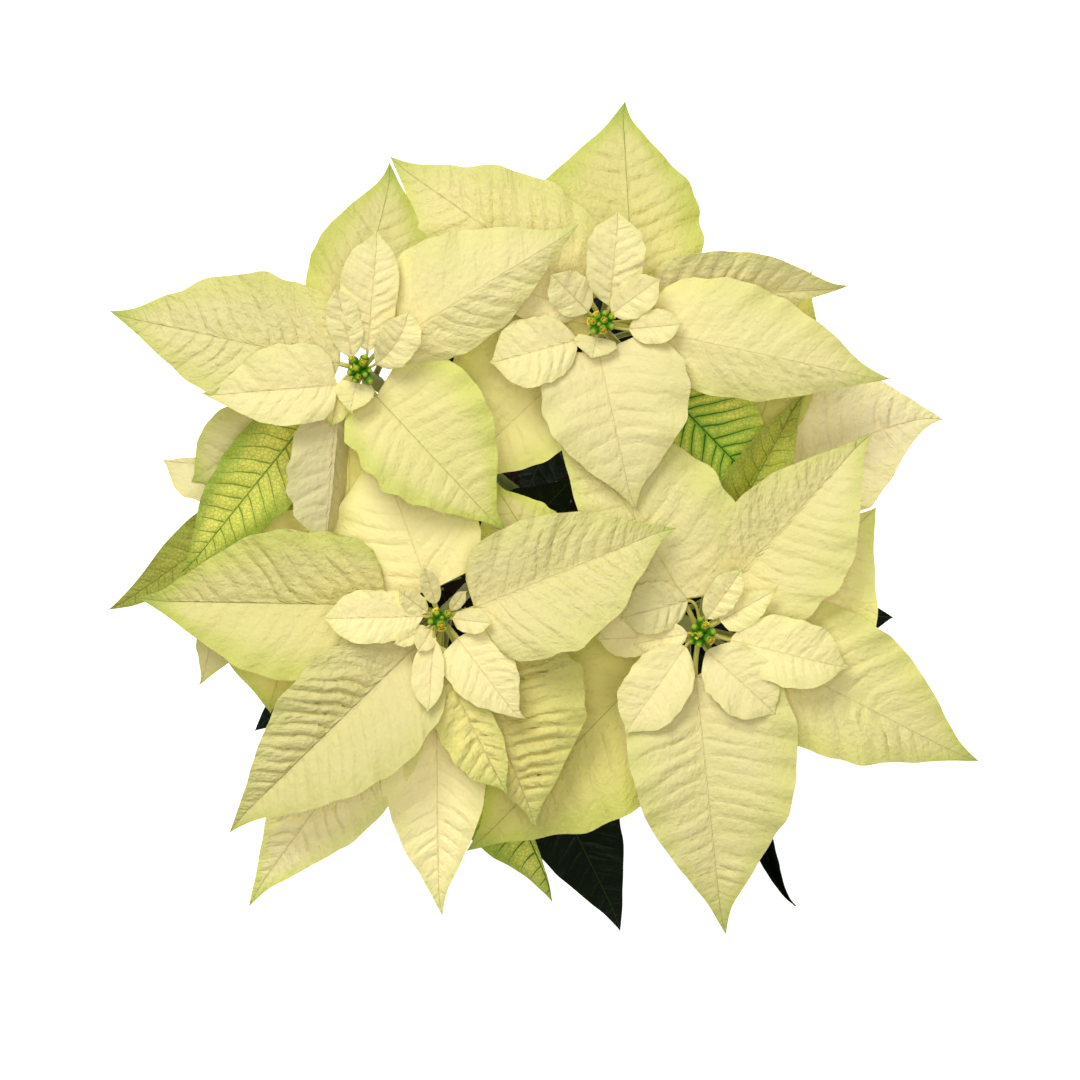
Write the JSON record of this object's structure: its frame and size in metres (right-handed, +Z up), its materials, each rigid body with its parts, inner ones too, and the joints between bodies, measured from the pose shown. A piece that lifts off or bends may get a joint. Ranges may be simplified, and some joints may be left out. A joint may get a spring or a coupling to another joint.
{
  "type": "potted poinsettia",
  "caption": "Cream poinsettia: layered bract rosettes round green cup flowers, dark leaves on forked shoots, rooted in a round nursery pot of soil.",
  "frame": {"origin": "middle of the pot's underside", "axes": "+Z up along the pot's axis and the main stem, +X to the right and +Y away from the viewer in the plant's plan, with the longest spread of bracts along X"},
  "size_m": [0.4048, 0.3886, 0.3506],
  "materials": {
    "bract": "soft satin, cream yellow, ribbed along the side veins, greener at edges and tips",
    "leaf": "satin dark green with paler midribs and side veins",
    "cyathium": "satin green cups with yellow to orange tops",
    "bark": "matte woody stem with pale corky dots",
    "soil": "matte crumbly potting mix",
    "pot": "satin moulded terracotta-coloured plastic"
  },
  "bodies": {
    "root": {"pot": "pot", "soil": "soil", "main_stem": "bark", "leafy_shoot_1": "leaf", "bracts_1": "bract", "cyathia_1": "cyathium", "leafy_shoot_2": "leaf", "bracts_2": "bract", "cyathia_2": "cyathium", "leafy_shoot_3": "leaf", "bracts_3": "bract", "cyathia_3": "cyathium", "leafy_shoot_4": "leaf", "bracts_4": "bract", "cyathia_4": "cyathium"}
  },
  "joints": []
}
